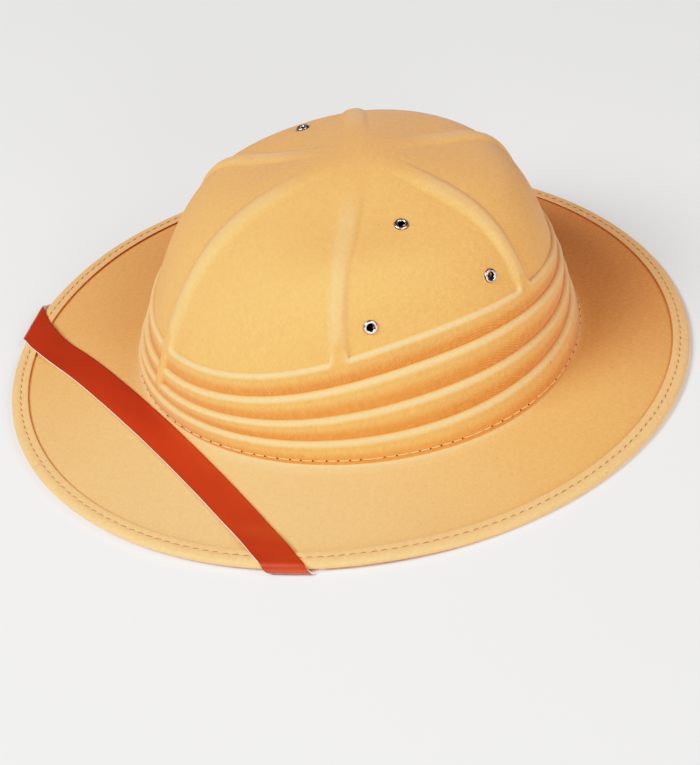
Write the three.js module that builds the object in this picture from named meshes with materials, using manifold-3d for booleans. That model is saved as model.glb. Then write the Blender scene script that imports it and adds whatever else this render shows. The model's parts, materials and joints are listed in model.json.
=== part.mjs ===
// Pith helmet: a moulded, cloth-covered shell with six ribs and four pleats, an edge binding sewn round
// the brim, six eyelets and a chin strap laid over the front of the brim.
//
// Millimetres, +Z up. The front of the hat faces -Y and +X is the wearer's left. The origin is on the
// ground below the middle of the brim, and the hat stands on its binding. An azimuth is counted from
// the front towards +X.

import * as THREE from 'three';
import Module from 'manifold-3d';
import { mergeVertices } from 'three/addons/utils/BufferGeometryUtils.js';

const manifold = await Module();
manifold.setup();

// ---------------------------------------------------------------------------------------------------
// Driving dimensions
// ---------------------------------------------------------------------------------------------------

const DEGREE = Math.PI / 180;
const GAP = 0.36;

// The crown's top, a little behind the middle of the brim.
const APEX = { y: 5.7, z: 106.7 };

// Each row is a closed line round the hat: how far it reaches from the centre line, and how high it
// lies, at five azimuths. The crease rows are the inner corners above each pleat's ledge.
const AZIMUTHS = { front: 0, frontDiagonal: 45, side: 90, backDiagonal: 135, back: 180 };
const LEVELS = {
  crease1: {
    reach: { front: 99.8, frontDiagonal: 87.0, side: 80.4, backDiagonal: 89.3, back: 92.0 },
    height: { front: 43.6, frontDiagonal: 51.9, side: 61.6, backDiagonal: 58.4, back: 53.0 },
  },
  crease2: {
    reach: { front: 103.2, frontDiagonal: 89.4, side: 83.4, backDiagonal: 92.6, back: 94.5 },
    height: { front: 33.4, frontDiagonal: 39.8, side: 48.6, backDiagonal: 48.6, back: 44.0 },
  },
  crease3: {
    reach: { front: 105.8, frontDiagonal: 94.2, side: 88.0, backDiagonal: 95.2, back: 97.5 },
    height: { front: 25.6, frontDiagonal: 28.4, side: 33.5, backDiagonal: 35.0, back: 34.0 },
  },
  crease4: {
    reach: { front: 107.6, frontDiagonal: 98.2, side: 93.0, backDiagonal: 98.2, back: 100.0 },
    height: { front: 19.0, frontDiagonal: 19.0, side: 20.3, backDiagonal: 24.2, back: 24.5 },
  },
  crownBase: {
    reach: { front: 108.8, frontDiagonal: 102.1, side: 99.6, backDiagonal: 104.0, back: 105.0 },
    height: { front: 8.6, frontDiagonal: 7.7, side: 7.3, backDiagonal: 9.4, back: 10.2 },
  },
  rim: {
    reach: { front: 173.8, frontDiagonal: 163.7, side: 153.8, backDiagonal: 154.7, back: 156.4 },
    height: { front: 1.8, frontDiagonal: 1.8, side: 1.8, backDiagonal: 1.8, back: 1.8 },
  },
};

// The rim is a little out of true: it reaches further on the left of the front than on the right. The
// amounts are for the parts that go once, twice and three times round.
const RIM_SKEW = { once: 1.0, twice: 0.6, threeTimes: 0.9 };

// The cap's profile between apex and first crease: how much of its drop is spread evenly over the dome,
// and how much comes only at the shoulder. The rest comes in between.
const CAP_PROFILE = {
  dome: { front: 0.3, frontDiagonal: 0.86, side: 0.77, backDiagonal: 0.46, back: 0.64 },
  shoulder: { front: 0.23, frontDiagonal: 1.18, side: 0.92, backDiagonal: 0.63, back: 1.01 },
};

// Each pleat is a ledge that steps out from its crease and turns down into the next crease.
const PLEATS = [
  { crease: 'crease1', ledge: 2.4, drop: 1.2, breaksAt: 'allRibs' },
  { crease: 'crease2', ledge: 2.9, drop: 1.3, breaksAt: 'endRibs' },
  { crease: 'crease3', ledge: 2.9, drop: 1.3, breaksAt: 'endRibs' },
  { crease: 'crease4', ledge: 2.4, drop: 1.4, breaksAt: 'nowhere' },
];

// Ribs: the middle of each, its flat top and its foot, counted from the middle.
const RIB_AZIMUTHS = [0, 54.3, 120, 180, 240, 305.7];
const RIB_TOP = 1.8;
const RIB_FOOT = 5.6;
const PANEL_COLUMNS = 5;
const PANEL_DROP_AT_APEX = 1.5;
const CAP_FRACTION_AT_CREASE = 0.965;

// Wall of the shell, and how its inner side is set off from the outer one. A lean of 90 degrees is
// straight down and 45 degrees is inwards and down.
const WALL = { top: 2.2, side: 3.0, brim: 2.4, rim: 1.3 };
const LEAN = { top: 90, side: 45, crownBase: 62 };

// Edge binding: a tape folded over the rim.
const TAPE = { thickness: 0.9, width: 8.0, roundness: 1.8 };

// Eyelets on the side panels: place along the cap from the apex, 0, to the first crease, 1.
const EYELET = { flangeRadius: 3.3, holeRadius: 1.5, barrelRadius: 2.1, flange: 0.7, sides: 14 };
const EYELETS = [
  { name: 'eyelet_left_1', azimuth: 85.1, run: 0.596 },
  { name: 'eyelet_left_2', azimuth: 64.6, run: 0.968 },
  { name: 'eyelet_left_3', azimuth: 109.4, run: 0.945 },
  { name: 'eyelet_right_1', azimuth: -91.6, run: 0.638 },
  { name: 'eyelet_right_2', azimuth: -64.6, run: 0.968 },
  { name: 'eyelet_right_3', azimuth: -109.4, run: 0.945 },
];

// Chin strap: a flat band over the front of the brim, folded under the rim at both ends, then under the
// brim to the inside of the crown at each side, where its ends stand against the wall.
const STRAP = { width: 15.6, thickness: 1.0, clearance: 0.45, behindBinding: 1.1, foldClearance: 0.8, across: 6 };
const STRAP_STEP = { folding: 1.5, flat: 8, before: 9, after: 18 };
const STRAP_SETTLES = { width: 18, risesFrom: 9, risenAt: 2 };
const STRAP_FOLDS = { left: 47.6, right: -37.2 };
const STRAP_TOP = [
  { x: -90, y: -129.9 },
  { x: -50, y: -124.2 },
  { x: -8, y: -119.6 },
  { x: 40, y: -115.4 },
  { x: 90, y: -112.4 },
];
const STRAP_HIDDEN = [
  { x: 116, y: -84 },
  { x: 106, y: -50 },
  { x: 94, y: -22 },
  { x: 86.5, y: 2 },
  { x: 87, y: 23.5 },
];
const STRAP_STANDING = { from: 46, upright: 18 };

// The strap's folds hold the front of the rim off the ground.
const FRONT_LIFT = { height: STRAP.thickness + STRAP.clearance, full: 60, none: 85 };

// ---------------------------------------------------------------------------------------------------
// Helpers
// ---------------------------------------------------------------------------------------------------

function mix(a, b, t) {
  return a + (b - a) * t;
}

function smoothstep(low, high, x) {
  const t = Math.min(Math.max((x - low) / (high - low), 0), 1);
  return t * t * (3 - 2 * t);
}

// Cosine series through five samples, at 0, 45, 90, 135 and 180 degrees, the same on both sides.
function roundSeries(row) {
  const names = Object.keys(AZIMUTHS);
  const last = names.length - 1;
  return names.map((_, order) => {
    const sum = names.reduce((total, name, i) => {
      const share = i === 0 || i === last ? 0.5 : 1;
      return total + share * row[name] * Math.cos(order * AZIMUTHS[name] * DEGREE);
    }, 0);
    return (sum * 2) / last / (order === 0 || order === last ? 2 : 1);
  });
}

function sumSeries(series, azimuth) {
  return series.reduce((total, value, order) => total + value * Math.cos(order * azimuth), 0);
}

const SERIES = Object.fromEntries(
  Object.entries(LEVELS).map(([name, level]) => [
    name,
    { reach: roundSeries(level.reach), height: roundSeries(level.height) },
  ]),
);

const CAP_SERIES = Object.fromEntries(
  Object.entries(CAP_PROFILE).map(([name, row]) => [name, roundSeries(row)]),
);

function rimReach(azimuth) {
  const skew = Object.values(RIM_SKEW).reduce(
    (total, amount, i) => total + amount * Math.sin((i + 1) * azimuth),
    0,
  );
  return sumSeries(SERIES.rim.reach, azimuth) + skew;
}

// A point of a level, moved out and up by the given amounts.
function levelPoint(name, azimuth, out = 0, up = 0) {
  const reach = (name === 'rim' ? rimReach(azimuth) : sumSeries(SERIES[name].reach, azimuth)) + out;
  const height = sumSeries(SERIES[name].height, azimuth) + up;
  return new THREE.Vector3(reach * Math.sin(azimuth), -reach * Math.cos(azimuth), height);
}

function angleBetween(a, b) {
  const turn = (a - b) / (2 * Math.PI);
  return Math.abs(turn - Math.round(turn)) * 2 * Math.PI;
}

function frontLift(azimuth) {
  const fromFront = angleBetween(azimuth, 0) / DEGREE;
  return FRONT_LIFT.height * (1 - smoothstep(FRONT_LIFT.full, FRONT_LIFT.none, fromFront));
}

// A closed solid from rings of points: rows[i][j] with j going round, first and last rows closed to
// each other when looped, or each to its own pole otherwise.
function gridGeometry(rows, { looped, poles = [] }) {
  const columns = rows[0].length;
  const positions = rows.flat().flatMap((p) => [p.x, p.y, p.z]);
  const index = [];
  const rowCount = looped ? rows.length : rows.length - 1;
  for (let i = 0; i < rowCount; i += 1) {
    for (let j = 0; j < columns; j += 1) {
      const a = i * columns + j;
      const b = i * columns + ((j + 1) % columns);
      const c = ((i + 1) % rows.length) * columns + j;
      const d = ((i + 1) % rows.length) * columns + ((j + 1) % columns);
      index.push(a, c, b, b, c, d);
    }
  }
  poles.forEach((pole) => {
    const centre = positions.length / 3;
    positions.push(pole.point.x, pole.point.y, pole.point.z);
    for (let j = 0; j < columns; j += 1) {
      const a = pole.row * columns + j;
      const b = pole.row * columns + ((j + 1) % columns);
      index.push(...(pole.row === 0 ? [centre, a, b] : [centre, b, a]));
    }
  });
  const geometry = new THREE.BufferGeometry();
  geometry.setAttribute('position', new THREE.Float32BufferAttribute(positions, 3));
  geometry.setIndex(index);
  return geometry;
}

function toSolid(geometry) {
  const bare = geometry.clone();
  bare.deleteAttribute('normal');
  bare.deleteAttribute('uv');
  const merged = mergeVertices(bare, 1e-4);
  return new manifold.Manifold(
    new manifold.Mesh({
      numProp: 3,
      vertProperties: new Float32Array(merged.attributes.position.array),
      triVerts: new Uint32Array(merged.index.array),
    }),
  );
}

function toGeometry(solid) {
  const mesh = solid.getMesh();
  const geometry = new THREE.BufferGeometry();
  geometry.setAttribute('position', new THREE.Float32BufferAttribute(mesh.vertProperties, 3));
  geometry.setIndex([...mesh.triVerts]);
  return geometry;
}

function makeMesh(name, geometry, material) {
  geometry.computeVertexNormals();
  const mesh = new THREE.Mesh(geometry, material);
  mesh.name = name;
  return mesh;
}

// ---------------------------------------------------------------------------------------------------
// The shell's outer surface
// ---------------------------------------------------------------------------------------------------

// How far the cap has come down at a run from the apex, 0, to its edge, 1.
function capDrop(run, azimuth) {
  const dome = sumSeries(CAP_SERIES.dome, azimuth);
  const shoulder = sumSeries(CAP_SERIES.shoulder, azimuth);
  return dome * run ** 2 + (1 - dome - shoulder) * run ** 4 + shoulder * run ** 8;
}

function capPoint(edge, run, azimuth, apexDrop) {
  const top = APEX.z - apexDrop;
  const y = mix(APEX.y, edge.y, run);
  return new THREE.Vector3(edge.x * run, y, top - (top - edge.z) * capDrop(run, azimuth));
}

// 0 on a rib's flat top and 1 on the panels.
function panelShare(azimuth, reach, ribs) {
  const nearest = Math.min(...ribs.map((rib) => angleBetween(azimuth, rib * DEGREE)));
  return smoothstep(RIB_TOP, RIB_FOOT, nearest * reach);
}

const BREAKS = { allRibs: RIB_AZIMUTHS, endRibs: [0, 180], nowhere: [] };

function pleatShare(pleat, azimuth) {
  const ribs = BREAKS[pleat.breaksAt];
  const reach = sumSeries(SERIES[pleat.crease].reach, azimuth);
  return ribs.length === 0 ? 1 : panelShare(azimuth, reach, ribs);
}

function nosePoint(pleat, azimuth) {
  return levelPoint(pleat.crease, azimuth, pleat.ledge, -pleat.drop);
}

// The cap between apex and first crease: ribs at the full height and panels a ledge's width lower.
function capSurface(run, azimuth) {
  const nose = nosePoint(PLEATS[0], azimuth);
  const high = capPoint(nose, run * CAP_FRACTION_AT_CREASE, azimuth, 0);
  const low = capPoint(levelPoint('crease1', azimuth), run, azimuth, PANEL_DROP_AT_APEX);
  const reach = run * sumSeries(SERIES.crease1.reach, azimuth);
  return high.lerp(low, panelShare(azimuth, reach, RIB_AZIMUTHS));
}

function brimPoint(share, azimuth, inset) {
  const base = levelPoint('crownBase', azimuth);
  const edge = levelPoint('rim', azimuth, -inset, WALL.rim / 2 + frontLift(azimuth));
  const point = base.clone().lerp(edge, share);
  point.z = mix(base.z, edge.z, share ** 1.12);
  return point;
}

// Azimuths of the columns: five follow each rib, the rest share out the panel to the next one.
function columnAzimuths(reach) {
  const columns = [];
  RIB_AZIMUTHS.forEach((rib, i) => {
    const next = (RIB_AZIMUTHS[i + 1] ?? RIB_AZIMUTHS[0] + 360) - rib;
    const widest = next * DEGREE * 0.3;
    const foot = Math.min(RIB_FOOT / reach, widest) / DEGREE;
    const top = (foot * RIB_TOP) / RIB_FOOT;
    columns.push(rib, rib + top, rib + foot);
    for (let k = 1; k <= PANEL_COLUMNS; k += 1) {
      columns.push(rib + mix(foot, next - foot, k / (PANEL_COLUMNS + 1)));
    }
    columns.push(rib + next - foot, rib + next - top);
  });
  return columns.map((azimuth) => azimuth * DEGREE);
}

const EDGE_INSET = TAPE.thickness + GAP;
const CAP_RUNS = [0.11, 0.23, 0.35, 0.47, 0.59, 0.7, 0.8, 0.88, 0.95, 1];
const BRIM_SHARES = [0.12, 0.4, 0.72, 1];

// Rows of the outer surface from apex to rim, each with its wall and lean for the inner side.
function shellRows() {
  const rows = [];
  const full = columnAzimuths(sumSeries(SERIES.crease1.reach, Math.PI / 2));
  CAP_RUNS.forEach((run) => {
    const share = smoothstep(0, 1, run);
    rows.push({
      points: columnAzimuths(run * sumSeries(SERIES.crease1.reach, Math.PI / 2)).map((azimuth) => ({
        azimuth,
        outer: capSurface(run, azimuth),
      })),
      wall: mix(WALL.top, WALL.side, share),
      lean: mix(LEAN.top, LEAN.side, share),
    });
  });
  const side = { wall: WALL.side, lean: LEAN.side };
  PLEATS.forEach((pleat, i) => {
    if (i > 0) {
      const above = PLEATS[i - 1];
      const crease = (azimuth) => {
        const flat = nosePoint(above, azimuth).lerp(nosePoint(pleat, azimuth), 0.86);
        return flat.lerp(levelPoint(pleat.crease, azimuth), pleatShare(pleat, azimuth));
      };
      rows.push({ points: full.map((azimuth) => ({ azimuth, outer: crease(azimuth) })), ...side });
    }
    rows.push({ points: full.map((azimuth) => ({ azimuth, outer: nosePoint(pleat, azimuth) })), ...side });
  });
  rows.push({
    points: full.map((azimuth) => ({ azimuth, outer: levelPoint('crownBase', azimuth) })),
    wall: WALL.side,
    lean: LEAN.crownBase,
  });
  BRIM_SHARES.forEach((share) => {
    rows.push({
      points: full.map((azimuth) => ({ azimuth, outer: brimPoint(share, azimuth, EDGE_INSET) })),
      wall: mix(WALL.brim, WALL.rim, share),
      lean: 90,
    });
  });
  return rows;
}

function innerPoint({ azimuth, outer }, wall, lean) {
  const inwards = wall * Math.cos(lean * DEGREE);
  return new THREE.Vector3(
    outer.x - inwards * Math.sin(azimuth),
    outer.y + inwards * Math.cos(azimuth),
    outer.z - wall * Math.sin(lean * DEGREE),
  );
}

function shellGeometry() {
  const rows = shellRows();
  const outer = rows.map((row) => row.points.map((point) => point.outer));
  const inner = rows.map((row) => row.points.map((point) => innerPoint(point, row.wall, row.lean)));
  const apex = new THREE.Vector3(0, APEX.y, APEX.z);
  const under = new THREE.Vector3(0, APEX.y, APEX.z - WALL.top);
  const rings = [...outer, ...inner.reverse()];
  return gridGeometry(rings, {
    looped: false,
    poles: [
      { row: 0, point: apex },
      { row: rings.length - 1, point: under },
    ],
  });
}

// ---------------------------------------------------------------------------------------------------
// Edge binding
// ---------------------------------------------------------------------------------------------------

// The tape's section at one azimuth, as inset from the rim and height, going round the section.
function bindingSection(azimuth) {
  const reach = rimReach(azimuth);
  const baseReach = sumSeries(SERIES.crownBase.reach, azimuth);
  const lift = frontLift(azimuth);
  const middle = LEVELS.rim.height.front + lift;
  const { thickness, width, roundness } = TAPE;
  const brimTop = (inset) => {
    const share = (reach - inset - baseReach) / (reach - EDGE_INSET - baseReach);
    return brimPoint(Math.min(share, 1), azimuth, EDGE_INSET).z + GAP;
  };
  const corner = roundness * 0.3;
  const section = [
    { inset: width, z: brimTop(width) + thickness },
    { inset: roundness, z: middle + roundness },
    { inset: corner, z: middle + roundness - corner },
    { inset: 0, z: middle },
    { inset: corner, z: lift + corner },
    { inset: roundness, z: lift },
    { inset: width, z: lift },
    { inset: width, z: lift + thickness },
    { inset: thickness, z: lift + thickness },
    { inset: thickness, z: middle + roundness - thickness },
    { inset: width, z: brimTop(width) },
  ];
  return section.map(({ inset, z }) => {
    const point = levelPoint('rim', azimuth, -inset);
    point.z = z;
    return point;
  });
}

function bindingGeometry() {
  const columns = columnAzimuths(sumSeries(SERIES.crease1.reach, Math.PI / 2));
  const sections = columns.map((azimuth) => bindingSection(azimuth));
  const rings = sections[0].map((_, i) => sections.map((section) => section[i]));
  return gridGeometry(rings, { looped: true });
}

// ---------------------------------------------------------------------------------------------------
// Eyelets
// ---------------------------------------------------------------------------------------------------

// Where an eyelet sits: the point on the panel and the way its axis points.
function eyeletPlace({ azimuth, run }) {
  const at = azimuth * DEGREE;
  const centre = capSurface(run, at);
  const step = 0.02;
  const along = capSurface(run + step, at).sub(capSurface(run - step, at));
  const round = capSurface(run, at + step).sub(capSurface(run, at - step));
  const normal = along.cross(round).normalize();
  return { centre, normal };
}

function placedAlong(geometry, { centre, normal }) {
  const turn = new THREE.Quaternion().setFromUnitVectors(new THREE.Vector3(0, 0, 1), normal);
  return geometry.applyQuaternion(turn).translate(centre.x, centre.y, centre.z);
}

// A rolled ring with a barrel that goes through the wall.
function eyeletGeometry(place) {
  const { flangeRadius, holeRadius, barrelRadius, flange, sides } = EYELET;
  const foot = -WALL.side - 0.4;
  const profile = [
    [holeRadius, foot],
    [barrelRadius, foot],
    [barrelRadius, GAP],
    [flangeRadius, GAP],
    [flangeRadius - 0.3, GAP + flange * 0.8],
    [mix(holeRadius, flangeRadius, 0.5), GAP + flange],
    [holeRadius + 0.2, GAP + flange * 0.7],
    [holeRadius, foot],
  ];
  const ring = new THREE.LatheGeometry(profile.map(([x, y]) => new THREE.Vector2(x, y)), sides);
  return placedAlong(ring.rotateX(Math.PI / 2), place);
}

function eyeletHole(place) {
  const reach = 12;
  const tool = new THREE.CylinderGeometry(EYELET.barrelRadius + GAP, EYELET.barrelRadius + GAP, reach, 12);
  return placedAlong(tool.rotateX(Math.PI / 2), place);
}

// ---------------------------------------------------------------------------------------------------
// Chin strap
// ---------------------------------------------------------------------------------------------------

const RIM_MIDDLE = LEVELS.rim.height.front + FRONT_LIFT.height;
const FOLD_RADIUS = LEVELS.rim.height.front + STRAP.clearance + STRAP.thickness / 2;

// The line about which the strap folds under the rim: a tangent to the rim, just inside its edge.
function foldLine(azimuth) {
  const at = azimuth * DEGREE;
  const edge = levelPoint('rim', at);
  const next = levelPoint('rim', at + 0.001);
  const along = new THREE.Vector2(next.x - edge.x, next.y - edge.y).normalize();
  const out = new THREE.Vector2(along.y, -along.x);
  const outwards = Math.sign(out.x * edge.x + out.y * edge.y);
  out.multiplyScalar(outwards);
  const clearance = STRAP.foldClearance - LEVELS.rim.height.front;
  const point = new THREE.Vector2(edge.x, edge.y).addScaledVector(out, clearance);
  return { point, out };
}

const FOLDS = Object.values(STRAP_FOLDS).map(foldLine);

// Where a hidden point would lie if the strap ran straight on over the rim instead of folding.
function unfolded(point, fold) {
  const beyond = point.clone().sub(fold.point).dot(fold.out);
  return point.clone().addScaledVector(fold.out, Math.PI * FOLD_RADIUS - 2 * beyond);
}

function strapRoute() {
  const hidden = (side) => STRAP_HIDDEN.map(({ x, y }) => new THREE.Vector2(side * x, y));
  const [left, right] = FOLDS;
  const points = [
    ...hidden(-1).reverse().map((point) => unfolded(point, right)),
    ...STRAP_TOP.map(({ x, y }) => new THREE.Vector2(x, y)),
    ...hidden(1).map((point) => unfolded(point, left)),
  ];
  return new THREE.CatmullRomCurve3(points.map((p) => new THREE.Vector3(p.x, p.y, 0)), false, 'centripetal');
}

function topOfBrim(x, y) {
  const azimuth = Math.atan2(x, -y);
  const reach = Math.hypot(x, y);
  const base = sumSeries(SERIES.crownBase.reach, azimuth);
  const edge = rimReach(azimuth) - EDGE_INSET;
  const share = Math.min(Math.max((reach - base) / (edge - base), 0), 1);
  return brimPoint(share, azimuth, EDGE_INSET).z;
}

// The middle of the strap's thickness over the brim: it clears the binding and settles behind it.
function heightOverBrim(x, y, beyond) {
  const onBinding = TAPE.thickness + GAP + STRAP.clearance + STRAP.thickness / 2;
  const behind = STRAP.behindBinding;
  const rise = mix(onBinding, behind, smoothstep(TAPE.width, TAPE.width + STRAP_SETTLES.width, -beyond));
  const near = 1 - smoothstep(STRAP_SETTLES.risenAt, STRAP_SETTLES.risesFrom, -beyond);
  return mix(topOfBrim(x, y) + rise, RIM_MIDDLE + FOLD_RADIUS, near);
}

// A point of the strap, folded: across is the distance from its middle, toEnd the length left to its end.
function strapPoint(flat, across, side, toEnd) {
  const point = flat.clone().addScaledVector(side, across);
  const fold = FOLDS.find((line) => point.clone().sub(line.point).dot(line.out) > 0);
  if (!fold) {
    const beyond = Math.max(...FOLDS.map((line) => point.clone().sub(line.point).dot(line.out)));
    return new THREE.Vector3(point.x, point.y, heightOverBrim(point.x, point.y, beyond));
  }
  const folded = (p) => {
    const beyond = p.clone().sub(fold.point).dot(fold.out);
    const half = Math.PI * FOLD_RADIUS;
    const turn = Math.min(beyond / FOLD_RADIUS, Math.PI);
    const back = Math.max(beyond - half, 0);
    const plan = p.clone().addScaledVector(fold.out, FOLD_RADIUS * Math.sin(turn) - beyond - back);
    return new THREE.Vector3(plan.x, plan.y, RIM_MIDDLE + FOLD_RADIUS * Math.cos(turn));
  };
  const tilt = (Math.PI / 2) * smoothstep(STRAP_STANDING.from, STRAP_STANDING.upright, toEnd);
  if (tilt === 0) {
    return folded(point);
  }
  const middle = folded(flat);
  const away = folded(point).sub(middle);
  const inwards = Math.sign(-middle.x * away.x) || 1;
  middle.z += Math.sin(tilt) * (STRAP.width / 2 + GAP);
  away.multiplyScalar(Math.cos(tilt));
  away.z += inwards * Math.abs(across) * Math.sin(tilt);
  return middle.add(away);
}

// Places along the route, from 0 to 1: close together where the strap folds, wide apart elsewhere.
function strapPlaces(route, length) {
  const places = [0];
  while (places.at(-1) < 1) {
    const { x, y } = route.getPointAt(places.at(-1));
    const beyond = Math.max(...FOLDS.map((line) => new THREE.Vector2(x, y).sub(line.point).dot(line.out)));
    const folding = beyond > -STRAP_STEP.before && beyond < STRAP_STEP.after;
    const step = (folding ? STRAP_STEP.folding : STRAP_STEP.flat) / length;
    places.push(Math.min(places.at(-1) + step, 1));
  }
  return places;
}

function strapGeometry() {
  const route = strapRoute();
  route.arcLengthDivisions = 800;
  const length = route.getLength();
  const rings = [];
  const middles = [];
  strapPlaces(route, length).forEach((place) => {
    const flat = route.getPointAt(place);
    const way = route.getTangentAt(place);
    const side = new THREE.Vector2(-way.y, way.x);
    const toEnd = Math.min(place, 1 - place) * length;
    const row = [];
    for (let j = 0; j <= STRAP.across; j += 1) {
      const across = (j / STRAP.across - 0.5) * STRAP.width;
      row.push(strapPoint(new THREE.Vector2(flat.x, flat.y), across, side, toEnd));
    }
    middles.push(row);
  });
  middles.forEach((row, i) => {
    const before = middles[Math.max(i - 1, 0)];
    const after = middles[Math.min(i + 1, middles.length - 1)];
    const normals = row.map((_, j) => {
      const along = after[j].clone().sub(before[j]);
      const over = row[Math.min(j + 1, row.length - 1)].clone().sub(row[Math.max(j - 1, 0)]);
      return along.cross(over).normalize();
    });
    const half = STRAP.thickness / 2;
    const upper = row.map((point, j) => point.clone().addScaledVector(normals[j], half));
    const lower = row.map((point, j) => point.clone().addScaledVector(normals[j], -half));
    rings.push([...upper, ...lower.reverse()]);
  });
  return closedEnds(rings);
}

// A tube of rings whose two ends are closed flat, strip by strip across the band.
function closedEnds(rings) {
  const geometry = gridGeometry(rings, { looped: false });
  const index = [...geometry.index.array];
  const count = rings[0].length;
  const last = (rings.length - 1) * count;
  for (let j = 0; j < count / 2 - 1; j += 1) {
    const a = j;
    const b = j + 1;
    const c = count - 1 - j;
    const d = count - 2 - j;
    index.push(a, b, c, b, d, c);
    index.push(last + a, last + c, last + b, last + b, last + c, last + d);
  }
  geometry.setIndex(index);
  return geometry;
}

// ---------------------------------------------------------------------------------------------------
// Assembly
// ---------------------------------------------------------------------------------------------------

const canvasCloth = new THREE.MeshStandardMaterial({ color: 0xe6b673, roughness: 0.85, metalness: 0 });
const bindingCloth = new THREE.MeshStandardMaterial({ color: 0xe9bd7d, roughness: 0.85, metalness: 0 });
const strapLeather = new THREE.MeshStandardMaterial({ color: 0xb0401a, roughness: 0.35, metalness: 0 });
const nickel = new THREE.MeshStandardMaterial({ color: 0xd9d9de, roughness: 0.25, metalness: 1 });

const places = EYELETS.map((eyelet) => ({ name: eyelet.name, ...eyeletPlace(eyelet) }));
const shell = places.reduce(
  (solid, place) => solid.subtract(toSolid(eyeletHole(place))),
  toSolid(shellGeometry()),
);

// The crown stands behind the middle of the brim, and the origin is below that middle.
const helmet = new THREE.Group();
helmet.position.y = (LEVELS.rim.reach.front - LEVELS.rim.reach.back) / 2;
helmet.add(makeMesh('helmet_shell', toGeometry(shell), canvasCloth));
helmet.add(makeMesh('brim_binding', bindingGeometry(), bindingCloth));
helmet.add(makeMesh('chin_strap', strapGeometry(), strapLeather));
places.forEach((place) => {
  helmet.add(makeMesh(place.name, toGeometry(toSolid(eyeletGeometry(place))), nickel));
});

export default helmet;
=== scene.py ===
# %% [markdown]
# # A pith helmet: canvas over a moulded shell
#
# The real hat is one moulded shell, crown and brim together, with fine canvas laid over it. Six soft
# ribs run down from the top, four pleats go round the crown, a folded tape is sewn round the brim, six
# nickel eyelets let the air in, and a glossy chin strap lies over the front of the brim.
#
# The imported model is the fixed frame. It holds every size, so this script only makes the fine surface
# that belongs in the same places, and it starts by loading that frame and keeping its box.

# %% Load the fixed frame
import json
import math

import bmesh
import bpy
import numpy as np
from mathutils import Matrix, Vector

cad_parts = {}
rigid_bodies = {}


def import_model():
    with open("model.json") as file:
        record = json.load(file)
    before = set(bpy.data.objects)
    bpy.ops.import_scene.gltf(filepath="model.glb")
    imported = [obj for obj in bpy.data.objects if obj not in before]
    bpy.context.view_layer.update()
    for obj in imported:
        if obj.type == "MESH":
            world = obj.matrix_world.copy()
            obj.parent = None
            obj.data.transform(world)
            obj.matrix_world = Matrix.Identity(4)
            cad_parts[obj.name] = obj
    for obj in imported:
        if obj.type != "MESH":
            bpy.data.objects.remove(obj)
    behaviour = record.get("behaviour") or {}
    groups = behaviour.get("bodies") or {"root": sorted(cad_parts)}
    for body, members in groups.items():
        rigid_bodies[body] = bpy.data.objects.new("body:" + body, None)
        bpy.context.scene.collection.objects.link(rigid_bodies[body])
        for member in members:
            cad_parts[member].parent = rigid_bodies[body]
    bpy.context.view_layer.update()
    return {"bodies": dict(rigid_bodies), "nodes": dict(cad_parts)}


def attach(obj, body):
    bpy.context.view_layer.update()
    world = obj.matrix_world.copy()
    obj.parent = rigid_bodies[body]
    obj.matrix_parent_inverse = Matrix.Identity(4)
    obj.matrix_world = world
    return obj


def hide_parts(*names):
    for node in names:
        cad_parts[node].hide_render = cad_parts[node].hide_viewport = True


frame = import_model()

MM = 0.001
print("nodes:", ", ".join(sorted(frame["nodes"])))

# %% [markdown]
# ## Camera, light and floor
#
# A hat like this is shown from above its left side. The camera is set by the angle it looks from, its
# turn about its own line of sight, and the point it looks at, so each of them can be changed alone. A
# long lens keeps the near rim from looking too big. A large soft lamp stands in front and to the left,
# a second one fills the shadow side, and a pale sky lights everything a little.

# %% Camera
CAMERA = {"azimuth": 62.55, "elevation": 37.53, "roll": -4.66, "distance": 0.9883, "lens": 104.8}
LOOK_AT = Vector((0.0684, -0.0358, 0.0400))


def direction(azimuth, elevation):
    """Unit vector from the hat towards a place round it, both angles in degrees."""
    around, above = math.radians(azimuth), math.radians(elevation)
    level = math.cos(above)
    return Vector((math.sin(around) * level, -math.cos(around) * level, math.sin(above)))


def turned(back, roll):
    """Rotation whose Z points along back, rolled about it."""
    right = Vector((0, 0, 1)).cross(back).normalized()
    up = back.cross(right)
    angle = math.radians(roll)
    rolled = math.cos(angle) * right + math.sin(angle) * up
    return Matrix((rolled, back.cross(rolled), back)).transposed().to_4x4()


def add_camera():
    camera = bpy.data.objects.new("camera", bpy.data.cameras.new("camera"))
    bpy.context.scene.collection.objects.link(camera)
    back = direction(CAMERA["azimuth"], CAMERA["elevation"])
    place = LOOK_AT + CAMERA["distance"] * back
    camera.matrix_world = Matrix.Translation(place) @ turned(back, CAMERA["roll"])
    camera.data.lens = CAMERA["lens"]
    camera.data.sensor_width = 36
    camera.data.clip_end = 20
    bpy.context.scene.camera = camera
    return camera


print("camera at", [round(value, 3) for value in add_camera().matrix_world.translation])

# %% Soft light
LAMPS = [
    {"name": "key", "azimuth": 0, "elevation": 45, "watts": 150},
    {"name": "side", "azimuth": 120, "elevation": 45, "watts": 54},
    {"name": "low", "azimuth": 80, "elevation": 14, "watts": 58},
]
LAMP_DISTANCE, LAMP_SIZE = 3.0, 1.5
SKY_STRENGTH = 0.12


def add_lamp(row):
    lamp = bpy.data.lights.new(row["name"], "AREA")
    lamp.energy = row["watts"]
    lamp.size = LAMP_SIZE
    placed = bpy.data.objects.new(row["name"], lamp)
    back = direction(row["azimuth"], row["elevation"])
    placed.matrix_world = Matrix.Translation(LAMP_DISTANCE * back) @ turned(back, 0)
    bpy.context.scene.collection.objects.link(placed)


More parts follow.
